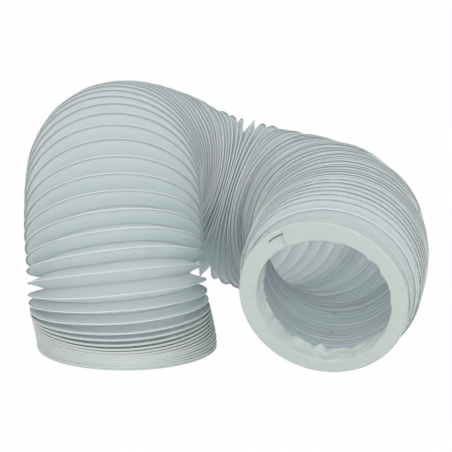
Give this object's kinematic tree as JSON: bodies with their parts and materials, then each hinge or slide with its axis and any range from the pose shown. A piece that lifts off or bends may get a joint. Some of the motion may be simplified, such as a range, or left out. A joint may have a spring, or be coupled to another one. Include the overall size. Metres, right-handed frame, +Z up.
{
  "type": "flexible air duct",
  "caption": "Pleated vinyl hose on a steel wire helix, partly drawn out and bent over into a U, with turned-in film ends.",
  "frame": {"origin": "centre of the foot's rim, on the surface that the hose stands on", "axes": "+Z up, along the bore at the foot; the mouth opens towards -Y; +X to the right of someone who looks into the mouth"},
  "size_m": [0.2442, 0.2737, 0.1466],
  "materials": {
    "film": "satin white vinyl film, slightly translucent",
    "wire": "spring steel under its welded film seam",
    "end_film": "folded, crumpled white vinyl film"
  },
  "bodies": {
    "foot": {"foot_cuff": "end_film", "foot_pleats": "film", "foot_wire": "wire"},
    "hose": {"column_pleats": "film", "column_wire": "wire", "arch_pleats": "film", "arch_wire": "wire", "rear_pleats": "film", "rear_wire": "wire", "bend_pleats": "film", "bend_wire": "wire"},
    "neck": {"neck_pleats": "film", "neck_wire": "wire", "mouth_pleats": "film", "mouth_wire": "wire"},
    "mouth": {"mouth_cuff": "end_film"}
  },
  "joints": [
    {"name": "foot_stretch", "type": "slide", "parent": "foot", "child": "hose", "axis": [0, 0, 1], "range_m": [0, 0.22], "deforming": ["foot_pleats", "foot_wire"]},
    {"name": "mouth_swing", "type": "hinge", "parent": "hose", "child": "neck", "pos_m": [0.126, 0, 0.059], "axis": [0, 0, 1], "range_deg": [-10, 25], "deforming": ["neck_pleats", "neck_wire"]},
    {"name": "mouth_stretch", "type": "slide", "parent": "neck", "child": "mouth", "axis": [-0.2419, -0.9703, 0], "range_m": [-0.02, 0.135], "deforming": ["mouth_pleats", "mouth_wire"]}
  ]
}
